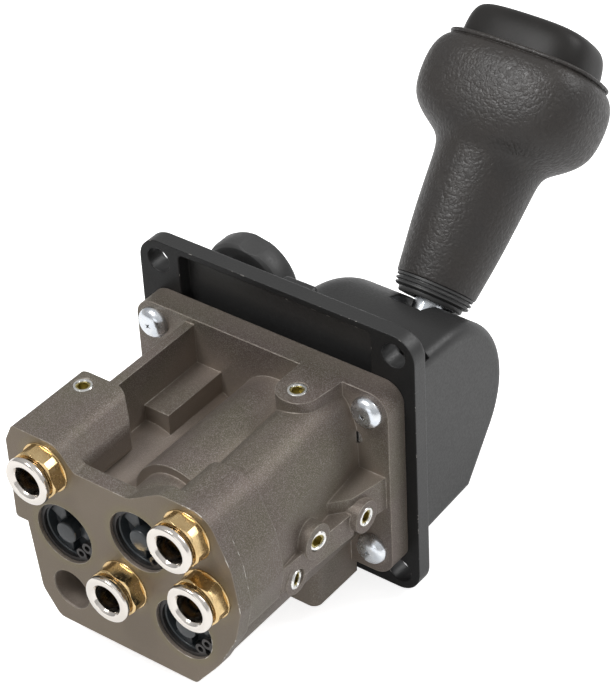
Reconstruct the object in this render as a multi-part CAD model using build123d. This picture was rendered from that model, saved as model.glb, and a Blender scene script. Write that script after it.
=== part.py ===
from build123d import *
import math
import os

os.makedirs("parts", exist_ok=True)

# Cab tipping control: a die-cast pneumatic valve block bolted behind a black operator housing, with a
# swinging lever and a PTO pull knob on the operator's side.
# Frame: the origin is the centre of the panel face of the mounting plate, +X runs across the plate,
# +Z up the plate and +Y out of the panel towards the operator. All sizes are in millimetres.

# Mounting plate and operator housing
PLATE_W = 90.0
PLATE_H = 85.0
PLATE_T = 5.4
PLATE_R = 7.0
DECK_W = 82.0
DECK_H = 77.0
DECK_Y = 8.4
RECESS_W = 63.0
RECESS_H = 81.2
RECESS_D = 3.9
MOUNT_HOLE_R = 3.7
MOUNT_PITCH_X = 77.0
MOUNT_PITCH_Z = 72.6
HUMP_X0 = -6.0
HUMP_X1 = 43.6
HUMP_WALL = 2.4
HUMP_R = 26.6

# Lever axis, about X
PIVOT_Y = 17.0
PIVOT_Z = 6.2
LEVER_X = 24.2
LEVER_ANGLE = 44.5
LEVER_SWING = 15.0
PIN_R = 4.0

# Valve body
FACE_Y = -66.5
FLANGE_W = 83.0
FLANGE_T = 7.2
FLANGE_TOP = 27.8
FLANGE_BOTTOM = -32.5
FLANGE_R = 6.0
SCREW_X = 35.35
SCREW_Z_TOP = 21.8
SCREW_Z_BOTTOM = -24.4
SCREW_R = 2.5

# Bores that run back from the port face, closed by plugs and circlips
PTO_BORE = (-19.4, -3.5)
PILOT_BORE = (6.1, PIVOT_Z)
TIP_BORE = (18.9, -16.9)
PLUG_R = 9.15
PLUG_DEPTH = 9.5
SPOOL_R = 6.0
RUNNING_GAP = 0.05

# Air ports: each runs to a gallery of its own, so each has its own depth; the spare one is last.
PORT_R = 5.9
PORT_DEPTHS = [12.0, 13.3, 14.6, 10.7, 16.0]
SPARE_PORT = (-19.5, -22.8)
FITTINGS = {
    "supply": (-23.2, 17.2),
    "raise": (23.0, 17.0),
    "lower": (0.0, -11.0),
    "pto": (27.8, 0.0),
}
HEX_AF = 14.0
HEX_T = 3.6
TUBE_R = 4.1
COLLAR_R = 6.95
COLLAR_T = 2.0
COLLAR_TRAVEL = 0.6
COLLAR_GAP = 2.2

# PTO knob
KNOB_X = -20.6
KNOB_Z = 26.3
KNOB_R = 13.9
KNOB_L = 11.4
KNOB_TRAVEL = 2.0

# Grip, measured along the lever from the pivot
RING_START = 27.0
GRIP_START = 31.8
CAP_END = 107.9


def rod_y(radius, start, end, x, z):
    """Cylinder along Y."""
    return Pos(x, (start + end) / 2, z) * Rot(90, 0, 0) * Cylinder(radius, end - start)


def rod_x(radius, start, end, y, z):
    """Cylinder along X."""
    return Pos((start + end) / 2, y, z) * Rot(0, 90, 0) * Cylinder(radius, end - start)


def rod_z(radius, start, end, x, y):
    """Cylinder along Z."""
    return Pos(x, y, (start + end) / 2) * Cylinder(radius, end - start)


def block(x0, x1, y0, y1, z0, z1):
    """Box between two corners."""
    centre = Pos((x0 + x1) / 2, (y0 + y1) / 2, (z0 + z1) / 2)
    return centre * Box(x1 - x0, y1 - y0, z1 - z0)


def prism_y(sketch, start, end):
    """Sketch in X and Z, extruded along Y."""
    return extrude(Plane.XZ.offset(-end) * sketch, amount=end - start)


def prism_x(sketch, start, end):
    """Sketch in Y and Z, extruded along X."""
    return extrude(Plane.YZ.offset(start) * sketch, amount=end - start)


def outline(corners):
    """Closed face from (across, up, corner radius) rows."""
    points = [(across, up) for across, up, radius in corners]
    radii = [radius for across, up, radius in corners]
    return make_face(FilletPolyline(*points, radius=radii, close=True))


def save(solid, name):
    solid.label = name
    export_step(solid, "parts/" + name + ".step")


# Valve body, die-cast aluminium: a port block in front, three bore barrels running back to a
# screwed flange, a thin wall on the left of an open cavity, and bosses that carry passage plugs.
PORT_WALL = 4.6
DRUM_END = -48.0
BOSS_END = -38.5
CAVITY_WALL_X = -21.5

port_face = outline([
    (21.6, -34.2, 2.5), (-24.8, -34.6, 3.0), (-29.9, -27.0, 5.0), (-32.3, -5.2, 0.0),
    (-36.3, -5.2, 1.0), (-36.3, 20.5, 3.0), (-33.6, 26.1, 1.5), (-19.0, 26.1, 5.5),
    (-13.4, 19.5, 1.5), (4.2, 19.5, 4.0), (15.0, 26.0, 6.0), (29.8, 26.0, 8.0),
    (36.4, 11.0, 9.0), (38.3, -1.8, 4.0), (36.0, -12.0, 9.0), (29.6, -24.0, 9.0),
])
drum_outline = outline([
    (26.0, -22.0, 6.0), (13.0, 0.0, 3.0), (13.6, 18.0, 3.0), (16.5, 25.6, 6.0), (29.6, 25.6, 7.5),
    (36.0, 11.0, 8.5), (37.8, -1.8, 4.0), (35.5, -12.0, 8.0),
])
right_wall_front = outline([
    (12.0, -16.0, 2.0), (12.0, 8.0, 2.0), (15.5, 22.5, 6.5), (28.5, 24.2, 7.5), (35.2, 9.0, 6.0),
    (36.4, -2.0, 1.2), (30.0, -18.0, 4.0),
])
right_wall_back = outline([
    (12.0, -16.0, 2.0), (12.0, 8.0, 2.0), (15.0, 24.0, 6.5), (27.2, 26.6, 7.5), (31.2, 15.0, 6.0),
    (31.6, -2.0, 1.2), (29.0, -18.0, 4.0),
])
right_wall = loft([
    Plane.XZ.offset(-DRUM_END) * right_wall_front,
    Plane.XZ.offset(FLANGE_T - 1.0) * right_wall_back,
], ruled=True)
lower_half = outline([
    (20.5, -33.0, 5.0), (-24.0, -33.6, 3.0), (-29.2, -27.0, 5.0), (-31.6, -6.0, 4.0),
    (-26.0, 6.5, 6.0), (-8.0, 4.0, 4.0), (30.0, 2.0, 2.0), (34.5, -4.0, 3.0), (28.8, -22.5, 6.0),
])
flange_z = (FLANGE_TOP + FLANGE_BOTTOM) / 2
flange_h = FLANGE_TOP - FLANGE_BOTTOM
flange_face = Pos(0, flange_z) * RectangleRounded(FLANGE_W, flange_h, FLANGE_R)
boss_outline = outline([
    (-36.2, 5.0, 3.0), (-36.2, 20.5, 3.0), (-33.5, 26.1, 1.5), (-19.4, 26.1, 5.0),
    (-13.8, 19.0, 5.0), (-14.2, 11.0, 5.0), (-22.0, 5.0, 4.0),
])
boss_plan = outline([
    (-36.4, FACE_Y, 0.0), (-36.4, BOSS_END, 5.5), (-19.8, BOSS_END, 6.5), (-13.4, -44.0, 5.0),
    (-13.4, FACE_Y, 0.0),
])

body = prism_y(port_face, FACE_Y, FACE_Y + PORT_WALL)
body += prism_y(drum_outline, FACE_Y + 1.0, DRUM_END)
body += right_wall
body += prism_y(lower_half, FACE_Y + 1.0, -FLANGE_T + 1.0)
body += prism_y(flange_face, -FLANGE_T, 0.0)
boss = prism_y(boss_outline, FACE_Y + 1.0, BOSS_END)
body += boss & extrude(boss_plan, amount=40.0)
body += rod_y(12.2, FACE_Y + 1.0, -FLANGE_T + 1.0, *PTO_BORE)
body += rod_y(10.8, FACE_Y + 1.0, -50.0, *PILOT_BORE)
body += rod_y(13.3, -51.0, -FLANGE_T + 1.0, *PILOT_BORE)
body += rod_y(12.4, FACE_Y + 1.0, -FLANGE_T + 1.0, *TIP_BORE)
body += block(-24.4, CAVITY_WALL_X, FACE_Y + 1.0, -FLANGE_T + 1.0, -4.0, 26.1)
body += block(CAVITY_WALL_X - 1.0, -13.3, -29.5, -FLANGE_T + 1.0, 0.0, 13.6)

# Lug for the top passage plug, a round-ended tongue out of the flange.
LUG_X = 19.5
LUG_Y = -16.0
lug_plan = outline([
    (13.6, -5.0, 0.0), (13.6, -21.6, 5.8), (25.4, -21.6, 5.8), (27.5, -5.0, 0.0),
])
body += Pos(0, 0, 14.0) * extrude(lug_plan, amount=FLANGE_TOP - 14.0)

# Shelf with the side passage plugs, and the block under it that meets the exhaust gallery.
SHELF_X = 40.6
SIDE_BOSSES = [(-16.6, -4.7, SHELF_X, 4.6), (-34.0, -1.7, 38.0, 5.0), (-42.0, -9.0, 37.0, 4.4)]
shelf_plan = outline([
    (26.0, -5.0, 0.0), (26.0, -30.0, 0.0), (33.0, -24.5, 2.0), (37.8, -19.0, 3.0), (SHELF_X, -5.0, 0.0),
])
body += Pos(0, 0, -8.6) * extrude(shelf_plan, amount=10.3)
rib_plan = outline([
    (28.0, -48.5, 0.0), (36.6, -48.5, 1.0), (38.6, -19.0, 1.0), (28.0, -19.0, 0.0),
])
body += Pos(0, 0, -9.6) * extrude(rib_plan, amount=7.4)
for y, z, end, radius in SIDE_BOSSES:
    body += rod_x(radius, 26.0, end, y, z)
exhaust_plan = outline([
    (-14.0, -5.0, 0.0), (-14.0, -23.5, 2.5), (27.8, -23.5, 2.5), (27.8, -5.0, 0.0),
])
body += Pos(0, 0, -38.2) * extrude(exhaust_plan, amount=32.0)

# Bores, circlip grooves, threaded ports, screw and passage plug holes.
CIRCLIP_Y = FACE_Y + 1.1
CIRCLIP_T = 1.0
CIRCLIP_GROOVE_R = 9.65
CIRCLIP_GAP_ANGLE = -39.0
PASSAGE_PLUG_R = 2.9
PASSAGE_PLUG_L = 5.0
for x, z in (PTO_BORE, PILOT_BORE, TIP_BORE):
    body -= rod_y(PLUG_R, FACE_Y - 1.0, FACE_Y + PLUG_DEPTH, x, z)
    body -= rod_y(CIRCLIP_GROOVE_R, CIRCLIP_Y, CIRCLIP_Y + CIRCLIP_T, x, z)
    body -= rod_y(SPOOL_R + RUNNING_GAP, FACE_Y + 1.0, 1.0, x, z)
for (x, z), depth in zip(list(FITTINGS.values()) + [SPARE_PORT], PORT_DEPTHS):
    body -= rod_y(PORT_R, FACE_Y - 1.0, FACE_Y + depth, x, z)
spare_mouth = Pos(SPARE_PORT[0], FACE_Y, SPARE_PORT[1]) * Rot(90, 0, 0)
body -= spare_mouth * Cone(PORT_R - 0.3, PORT_R + 0.7, 1.4)
for x in (-SCREW_X, SCREW_X):
    for z in (SCREW_Z_BOTTOM, SCREW_Z_TOP):
        body -= rod_y(SCREW_R + 0.25, -FLANGE_T - 1.0, 1.0, x, z)
        body -= rod_y(5.4, -FLANGE_T - 12.0, -FLANGE_T, x, z)
BOSS_PLUG = (-29.3, -43.5)
body -= rod_z(PASSAGE_PLUG_R, 26.1 - PASSAGE_PLUG_L, 27.0, *BOSS_PLUG)
body -= rod_z(PASSAGE_PLUG_R, FLANGE_TOP - PASSAGE_PLUG_L, FLANGE_TOP + 1.0, LUG_X, LUG_Y)
for y, z, end, radius in SIDE_BOSSES:
    body -= rod_x(PASSAGE_PLUG_R, end - PASSAGE_PLUG_L, end + 1.0, y, z)

# Screw holes for the lever bracket, in the back of the flange.
BRACKET_X0 = 0.6
BRACKET_X1 = 40.0
BRACKET_Z0 = -5.5
BRACKET_Z1 = 15.4
BRACKET_T = 2.0
BRACKET_SCREWS = [(15.5, 11.5), (31.0, 11.5), (31.0, -1.5)]
for x, z in BRACKET_SCREWS:
    body -= rod_y(2.0, -7.5, 1.0, x, z)
save(body, "valve_body")


# Operator housing: plate, raised deck and the hollow hump that covers the lever mechanism.
HUMP_TOP = PIVOT_Z + HUMP_R
HUMP_CORNER = (27.4, -24.3)
HUMP_BASE_Z = -26.4
TANGENT_ANGLE = -35.0


def hump_profile(inset):
    """Side outline of the hump: flat crest, round nose about the pivot, straight slope and sill."""
    radius = HUMP_R - inset
    angle = math.radians(TANGENT_ANGLE)
    top = (PIVOT_Y, PIVOT_Z + radius)
    nose = (PIVOT_Y + radius * math.cos(angle / 2 + math.pi / 4),
            PIVOT_Z + radius * math.sin(angle / 2 + math.pi / 4))
    tangent = (PIVOT_Y + radius * math.cos(angle), PIVOT_Z + radius * math.sin(angle))
    corner = (HUMP_CORNER[0] - inset * 1.1, HUMP_CORNER[1] + inset)
    base = (-2.0, HUMP_BASE_Z + inset)
    edges = Line((-2.0, HUMP_TOP - inset + 0.6), top)
    edges += ThreePointArc(top, nose, tangent)
    edges += Line(tangent, corner)
    edges += Line(corner, base)
    edges += Line(base, (-2.0, HUMP_TOP - inset + 0.6))
    return make_face(edges)


hump = prism_x(hump_profile(0.0), HUMP_X0, HUMP_X1)
left_rim = hump.faces().sort_by(Axis.X)[0].edges().filter_by(lambda e: e.center().Y > 2.0)
hump = fillet(left_rim, 12.0)
right_rim = hump.faces().sort_by(Axis.X)[-1].edges().filter_by(lambda e: e.center().Y > 2.0)
hump = fillet(right_rim, 3.5)
hump = hump & block(-60, 60, 1.0, 60, -60, 60)

plate = prism_y(RectangleRounded(PLATE_W, PLATE_H, PLATE_R), 0.0, PLATE_T)
plate = fillet(plate.faces().sort_by(Axis.Y)[-1].edges(), 1.0)
deck = prism_y(RectangleRounded(DECK_W, DECK_H, PLATE_R), PLATE_T - 1.0, DECK_Y)
deck = fillet(deck.faces().sort_by(Axis.Y)[-1].edges(), 2.0)
housing = plate + deck + hump
housing -= prism_y(RectangleRounded(RECESS_W, RECESS_H, 1.5), -1.0, RECESS_D)
hollow = prism_x(hump_profile(HUMP_WALL), HUMP_X0 + HUMP_WALL + 2.0, HUMP_X1 - HUMP_WALL)
hollow_rim = hollow.faces().sort_by(Axis.X)[0].edges().filter_by(lambda e: e.center().Y > 2.0)
recess_back = block(-60, 60, -5.0, RECESS_D + 1.5, FLANGE_TOP - 5.0, 60)
housing -= fillet(hollow_rim, 6.0) - recess_back

# Pillars that take the right-hand body screws, tied to the hump's side wall.
PILLAR_END = 13.0
for z in (SCREW_Z_BOTTOM, SCREW_Z_TOP):
    pillar = rod_y(4.6, 0.0, PILLAR_END, SCREW_X, z) + block(SCREW_X, 42.0, 0.0, PILLAR_END, z - 3.0, z + 3.0)
    housing += pillar & (hump + plate + deck)
for x in (-SCREW_X, SCREW_X):
    for z in (SCREW_Z_BOTTOM, SCREW_Z_TOP):
        housing -= rod_y(SCREW_R, -1.0, DECK_Y - 1.6, x, z)
for x in (-MOUNT_PITCH_X / 2, MOUNT_PITCH_X / 2):
    for z in (-MOUNT_PITCH_Z / 2, MOUNT_PITCH_Z / 2):
        housing -= rod_y(MOUNT_HOLE_R, -1.0, DECK_Y + 1.0, x, z)
        housing -= rod_y(6.6, PLATE_T, DECK_Y + 1.0, x, z)

# Slot for the lever, cut through the nose and wide enough for the swing.
SLOT_W = 10.4
SLOT_MARGIN = 12.5
SLOT_START = LEVER_ANGLE - LEVER_SWING - SLOT_MARGIN
SLOT_END = LEVER_ANGLE + LEVER_SWING + SLOT_MARGIN


def sector(inner, outer, start, end):
    """Ring sector about the pivot, in Y and Z, between two angles from +Y."""
    ring = Circle(outer) - Circle(inner)
    reach = outer * 1.5
    middle = math.radians((start + end) / 2)
    first = math.radians(start)
    last = math.radians(end)
    wedge = make_face(Polyline(
        (0.0, 0.0), (reach * math.cos(first), reach * math.sin(first)),
        (reach * math.cos(middle) * 1.3, reach * math.sin(middle) * 1.3),
        (reach * math.cos(last), reach * math.sin(last)), close=True))
    return Pos(PIVOT_Y, PIVOT_Z) * (ring & wedge)


housing -= prism_x(sector(20.0, 34.0, SLOT_START, SLOT_END), LEVER_X - SLOT_W / 2, LEVER_X + SLOT_W / 2)

# PTO stem bore, its round seat on the deck, and the two pockets in which the joggled link travels: a
# shallow one behind the flange and a closed one under the seat.
STEM_R = 3.0
POCKET_D = 4.6
housing += rod_y(13.6, DECK_Y - 0.6, DECK_Y + 1.0, KNOB_X, KNOB_Z - 1.2) & block(-60, 60, 0, 20, -60, 37.4)
housing -= block(-29.5, -9.5, -1.0, POCKET_D, -12.5, 23.0)
housing -= block(KNOB_X - 7.0, KNOB_X + 7.0, POCKET_D, DECK_Y, 13.5, 32.5)
housing -= rod_y(STEM_R + RUNNING_GAP, DECK_Y - 1.0, DECK_Y + 3.0, KNOB_X, KNOB_Z)
save(housing, "operator_housing")


# Pan-head screws that hold the valve body to the housing, in one node.
HEAD_R = 4.6
HEAD_K = 3.2


def pan_screw(x, z):
    """Cross-recessed pan head under a plain shank, head towards -Y."""
    head_profile = make_face(
        Line((0, 0), (HEAD_R, 0)) + Line((HEAD_R, 0), (HEAD_R, 0.8))
        + ThreePointArc((HEAD_R, 0.8), (HEAD_R * 0.78, HEAD_K * 0.72), (0, HEAD_K)) + Line((0, HEAD_K), (0, 0)))
    head = Rot(90, 0, 0) * revolve(Plane.XZ * head_profile, Axis.Z)
    head -= Pos(0, -HEAD_K, 0) * (Box(4.6, 3.2, 0.9) + Box(0.9, 3.2, 4.6))
    shank = rod_y(SCREW_R, 0.0, FLANGE_T + DECK_Y - 2.2, 0, 0)
    return Pos(x, -FLANGE_T, z) * (head + shank)


body_screws = Compound(children=[
    pan_screw(x, z) for x in (-SCREW_X, SCREW_X) for z in (SCREW_Z_BOTTOM, SCREW_Z_TOP)])
save(body_screws, "body_screws")


# Hex-socket passage plugs screwed flush into the bosses, in one node.
def passage_plug(placement):
    plug = Pos(0, 0, -PASSAGE_PLUG_L / 2) * Cylinder(PASSAGE_PLUG_R, PASSAGE_PLUG_L)
    plug -= Pos(0, 0, -2.2) * extrude(RegularPolygon(1.62, 6), amount=3.0)
    return placement * plug


plug_places = [Pos(BOSS_PLUG[0], BOSS_PLUG[1], 26.1), Pos(LUG_X, LUG_Y, FLANGE_TOP)]
plug_places += [Pos(end, y, z) * Rot(0, 90, 0) for y, z, end, radius in SIDE_BOSSES]
save(Compound(children=[passage_plug(place) for place in plug_places]), "passage_plugs")


# Bore plugs: black moulded caps with a centre boss, three spokes and an O-ring groove.
SPOKES = 3
SPOKE_T = 1.7
CAP_BOSS_R = 3.2
CAP_FRONT = FACE_Y + CIRCLIP_T + 1.1
SEAL_Y = FACE_Y + 6.6
SEAL_R = 0.9


def bore_plug(x, z):
    plug = rod_y(PLUG_R - 0.02, CAP_FRONT, FACE_Y + PLUG_DEPTH, 0, 0)
    plug -= rod_y(7.5, CAP_FRONT - 1.0, CAP_FRONT + 3.4, 0, 0)
    plug += rod_y(CAP_BOSS_R, FACE_Y + 0.4, CAP_FRONT + 4.0, 0, 0)
    for index in range(SPOKES):
        spoke = block(0, 7.6, CAP_FRONT + 0.2, CAP_FRONT + 4.0, -SPOKE_T / 2, SPOKE_T / 2)
        plug += Rot(0, 100 + index * 360 / SPOKES, 0) * spoke
    groove = rod_y(PLUG_R + 1, SEAL_Y - SEAL_R, SEAL_Y + SEAL_R, 0, 0)
    groove -= rod_y(PLUG_R - 1.6, SEAL_Y - 2, SEAL_Y + 2, 0, 0)
    return Pos(x, 0, z) * (plug - groove)


def circlip(x, z):
    """Internal retaining ring, open at the lower right, with two plier eyes."""
    ring = Circle(CIRCLIP_GROOVE_R - 0.05) - Circle(8.0)
    ring -= Rot(0, 0, CIRCLIP_GAP_ANGLE) * Pos(9.0, 0) * Rectangle(4.4, 2.2)
    for side in (-1, 1):
        lug = Rot(0, 0, CIRCLIP_GAP_ANGLE + side * 15.0) * Pos(6.9, 0)
        ring += lug * Circle(1.65)
        ring -= lug * Circle(0.85)
    return Pos(x, 0, z) * prism_y(ring, CIRCLIP_Y, CIRCLIP_Y + CIRCLIP_T)


def seal_ring(x, y, z, inner, outer):
    """O-ring about Y, drawn with the flats it takes when seated."""
    ring = rod_y(outer, y - SEAL_R, y + SEAL_R, x, z) - rod_y(inner, y - 2, y + 2, x, z)
    return ring


for label, (x, z) in (("pto", PTO_BORE), ("pilot", PILOT_BORE), ("tip", TIP_BORE)):
    save(bore_plug(x, z), label + "_bore_plug")
    save(circlip(x, z), label + "_bore_circlip")
    save(seal_ring(x, SEAL_Y, z, PLUG_R - 1.6, PLUG_R), label + "_plug_seal")


# Push-in fittings: brass hex body screwed into the port face, nickel release collar that slides in
# its mouth, and a tube seal behind the collar.
HEX_FRONT = FACE_Y - HEX_T
RING_BACK = HEX_FRONT - COLLAR_GAP
RING_FRONT = RING_BACK - COLLAR_T
SLEEVE_R = 5.0
SLEEVE_END = FACE_Y - 0.2
STUB_END = FACE_Y + 10.0
TUBE_SEAL_Y = FACE_Y + 3.1


def fitting_body(x, z):
    hexagon = prism_y(Rot(0, 0, 10) * RegularPolygon(HEX_AF / 2, 6, major_radius=False), HEX_FRONT, FACE_Y)
    turned = rod_y(HEX_AF / 2 / math.cos(math.pi / 6), HEX_FRONT, FACE_Y, 0, 0)
    turned = chamfer(turned.faces().sort_by(Axis.Y)[0].edges(), 1.1)
    fitting = (hexagon & turned) + rod_y(PORT_R, FACE_Y, STUB_END, 0, 0)
    fitting -= rod_y(SLEEVE_R + RUNNING_GAP, HEX_FRONT - 1.0, FACE_Y + 2.2, 0, 0)
    fitting -= rod_y(SLEEVE_R + 0.3, FACE_Y + 2.2, FACE_Y + 4.0, 0, 0)
    fitting -= rod_y(TUBE_R, FACE_Y + 2.0, FACE_Y + 8.0, 0, 0)
    fitting -= rod_y(3.0, FACE_Y + 2.0, STUB_END + 1.0, 0, 0)
    return Pos(x, 0, z) * fitting


def release_collar(x, z):
    ring = rod_y(COLLAR_R, RING_FRONT, RING_BACK, 0, 0)
    ring = fillet(ring.edges().filter_by(GeomType.CIRCLE), 0.55)
    collar = ring + rod_y(SLEEVE_R, RING_BACK - 0.5, SLEEVE_END, 0, 0)
    collar -= rod_y(TUBE_R, RING_FRONT - 1.0, SLEEVE_END + 1.0, 0, 0)
    collar -= Pos(0, RING_FRONT, 0) * Rot(-90, 0, 0) * Cone(TUBE_R + 0.75, TUBE_R - 0.25, 2.0)
    return Pos(x, 0, z) * collar


for label, (x, z) in FITTINGS.items():
    save(fitting_body(x, z), label + "_fitting_body")
    save(release_collar(x, z), label + "_release_collar")
    seal = seal_ring(x, TUBE_SEAL_Y, z, TUBE_R, SLEEVE_R + 0.3)
    save(seal, label + "_tube_seal")


# Spools. The tipping spool ends in a fork for the rocker's ball, the pilot plunger has a domed tip
# that the cam pushes, and the PTO spool is screwed to the link plate.
FORK_HALF_X = 5.0
BALL_R = 2.2
BALL_GAP = 0.3
FORK_WALL = 1.1
FORK_Y0 = PIVOT_Y - BALL_R - BALL_GAP - FORK_WALL
FORK_Y1 = PIVOT_Y + BALL_R + BALL_GAP + FORK_WALL
SPOOL_FRONT = FACE_Y + PLUG_DEPTH + 7.5


def spool(start, end, x, z):
    """Hard-anodised spool with lands and waists."""
    solid = rod_y(SPOOL_R, start, end, x, z)
    length = end - start
    for share in (0.2, 0.45, 0.7):
        middle = start + share * length
        waist = rod_y(SPOOL_R + 1, middle - 2.4, middle + 2.4, x, z) - rod_y(4.2, start, end, x, z)
        solid -= waist
    return solid


tip_x, tip_z = TIP_BORE
tip_spool = spool(SPOOL_FRONT, -8.0, tip_x, tip_z)
tip_spool += rod_y(3.6, -9.0, FORK_Y0 + 0.5, tip_x, tip_z)
fork_profile = outline([
    (FORK_Y0, tip_z - 3.2, 0.0), (FORK_Y1 - 1.1, tip_z - 3.2, 0.0), (FORK_Y1, tip_z - 2.1, 0.0),
    (FORK_Y1, tip_z + 2.6, 0.0), (FORK_Y0, tip_z + 2.6, 0.0),
])
fork = prism_x(fork_profile, tip_x - FORK_HALF_X, tip_x + FORK_HALF_X)
fork -= block(tip_x - 2.9, tip_x + 2.9, PIVOT_Y - BALL_R - BALL_GAP, PIVOT_Y + BALL_R + BALL_GAP,
              tip_z - BALL_R - BALL_GAP, tip_z + 6.0)
save(tip_spool + fork, "tip_spool")

CAM_R = 10.0
CAM_RISE = 3.0
PLUNGER_TIP = PIVOT_Y - CAM_R - 0.35
PLUNGER_R = 3.0
pilot_x, pilot_z = PILOT_BORE
plunger = spool(SPOOL_FRONT, -14.0, pilot_x, pilot_z)
plunger += rod_y(PLUNGER_R, -15.0, PLUNGER_TIP - PLUNGER_R, pilot_x, pilot_z)
plunger += Pos(pilot_x, PLUNGER_TIP - PLUNGER_R, pilot_z) * Sphere(PLUNGER_R)
save(plunger, "pilot_plunger")

# The PTO link steps forward between the spool and the stem.
LINK_T = 1.2
LINK_BACK = 0.8
LINK_FRONT = 6.1
LINK_STEP_Z = 15.0
LINK_TOP = 31.5
LINK_HALF = 6.0
pto_x, pto_z = PTO_BORE
pto_spool = spool(SPOOL_FRONT, -5.0, pto_x, pto_z) + rod_y(2.5, -6.0, LINK_BACK + LINK_T + 0.3, pto_x, pto_z)
save(pto_spool, "pto_spool")

lower_link = outline([
    (pto_x - LINK_HALF, pto_z - LINK_HALF, 5.0), (pto_x + LINK_HALF, pto_z - LINK_HALF, 5.0),
    (KNOB_X + LINK_HALF, LINK_STEP_Z + 2.0, 0.0), (KNOB_X - LINK_HALF, LINK_STEP_Z + 2.0, 0.0),
])
upper_link = outline([
    (KNOB_X - LINK_HALF, LINK_STEP_Z, 0.0), (KNOB_X + LINK_HALF, LINK_STEP_Z, 0.0),
    (KNOB_X + LINK_HALF, LINK_TOP, 5.0), (KNOB_X - LINK_HALF, LINK_TOP, 5.0),
])
link = prism_y(lower_link, LINK_BACK, LINK_BACK + LINK_T)
link += prism_y(upper_link, LINK_FRONT - LINK_T, LINK_FRONT)
link += block(KNOB_X - LINK_HALF, KNOB_X + LINK_HALF, LINK_BACK, LINK_FRONT, LINK_STEP_Z, LINK_STEP_Z + 2.0)
link -= rod_y(2.5, -1, 4, pto_x, pto_z)
link -= rod_y(2.0, 4, 8, KNOB_X, KNOB_Z)
save(link, "pto_link")

stem = rod_y(STEM_R, LINK_FRONT, DECK_Y + 8.0, KNOB_X, KNOB_Z)
stem += rod_y(2.0, LINK_FRONT - LINK_T, LINK_FRONT + 0.5, KNOB_X, KNOB_Z)
save(stem, "pto_stem")

KNOB_Y0 = DECK_Y + 1.3
knob = rod_y(KNOB_R, KNOB_Y0, KNOB_Y0 + KNOB_L, KNOB_X, KNOB_Z)
knob = fillet(knob.faces().sort_by(Axis.Y)[-1].edges(), 2.6)
knob = fillet(knob.faces().sort_by(Axis.Y)[0].edges(), 1.2)
knob -= Pos(KNOB_X + 11.5, KNOB_Y0 - 4.0, KNOB_Z + 14.0) * Sphere(13.5)
knob -= rod_y(STEM_R, KNOB_Y0 - 1.0, DECK_Y + 8.0, KNOB_X, KNOB_Z)
save(knob, "pto_knob")


# Lever bracket: pressed steel channel on the back of the flange, with an ear at each end.
EAR_R = 8.0
EAR_T = 2.4
base = block(BRACKET_X0, BRACKET_X1, 0.0, BRACKET_T, BRACKET_Z0, BRACKET_Z1)
ear_profile = outline([
    (0.0, BRACKET_Z0, 0.0), (PIVOT_Y - 2.0, PIVOT_Z - EAR_R, 3.0), (PIVOT_Y + EAR_R, PIVOT_Z - EAR_R, EAR_R - 0.4),
    (PIVOT_Y + EAR_R, PIVOT_Z + EAR_R, EAR_R - 0.4), (0.0, BRACKET_Z1, 0.0),
])
bracket = base + prism_x(ear_profile, BRACKET_X0, BRACKET_X0 + EAR_T)
bracket += prism_x(ear_profile, BRACKET_X1 - EAR_T, BRACKET_X1)
bracket -= rod_y(4.2, -1.0, 4.0, pilot_x, pilot_z)
bracket -= rod_x(PIN_R, BRACKET_X0 - 1.0, BRACKET_X1 + 1.0, PIVOT_Y, PIVOT_Z)
for x, z in BRACKET_SCREWS:
    bracket -= rod_y(2.1, -1.0, 4.0, x, z)
save(bracket, "lever_bracket")

bracket_screw_set = []
for x, z in BRACKET_SCREWS:
    screw = rod_y(2.0, -7.0, BRACKET_T, x, z) + rod_y(3.5, BRACKET_T, BRACKET_T + 2.2, x, z)
    bracket_screw_set.append(screw)
save(Compound(children=bracket_screw_set), "bracket_screws")

# Pivot pin with a groove and clip at each end.
PIN_OVERHANG = 0.9
CLIP_T = 0.7
pin = rod_x(PIN_R, BRACKET_X0 - PIN_OVERHANG, BRACKET_X1 + PIN_OVERHANG, PIVOT_Y, PIVOT_Z)
pin_clips = []
for start in (BRACKET_X0 - CLIP_T, BRACKET_X1):
    groove = rod_x(PIN_R + 2.0, start, start + CLIP_T, PIVOT_Y, PIVOT_Z)
    groove -= rod_x(PIN_R - 0.6, start - 1.0, start + 2.0, PIVOT_Y, PIVOT_Z)
    pin -= groove
    clip = groove & rod_x(PIN_R + 1.4, start, start + CLIP_T, PIVOT_Y, PIVOT_Z)
    clip -= block(-20, 60, PIVOT_Y - 2.0, PIVOT_Y + 2.0, PIVOT_Z - 9.0, PIVOT_Z)
    pin_clips.append(clip)
save(pin, "pivot_pin")
save(Compound(children=pin_clips), "pivot_clips")

# Lever: hub with bushes on the pin, cam, rocker arm, screwed-in shaft and curved dust shield.
HUB_R = 7.0
HUB_X0 = 3.2
HUB_X1 = 33.6
BUSH_R = 5.2
BUSH_L = 9.0
SHAFT_R = 4.0
SHAFT_BOSS_R = 5.2
lever_plane = Plane(
    origin=(LEVER_X, PIVOT_Y, PIVOT_Z), x_dir=(1, 0, 0),
    z_dir=(0, math.cos(math.radians(LEVER_ANGLE)), math.sin(math.radians(LEVER_ANGLE))))


def on_lever(solid, distance):
    """Place a solid made about Z with its base at this distance from the pivot."""
    return lever_plane.offset(distance).location * solid


def lever_rod(radius, start, end):
    return on_lever(Pos(0, 0, (end - start) / 2) * Cylinder(radius, end - start), start)


hub = rod_x(HUB_R, HUB_X0, HUB_X1, PIVOT_Y, PIVOT_Z)
hub += lever_rod(SHAFT_BOSS_R, 2.0, 12.0)
hub -= rod_x(BUSH_R, HUB_X0 - 1, HUB_X1 + 1, PIVOT_Y, PIVOT_Z)
hub -= lever_rod(SHAFT_R, BUSH_R + 0.6, 14.0)
save(hub, "lever_hub")

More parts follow.
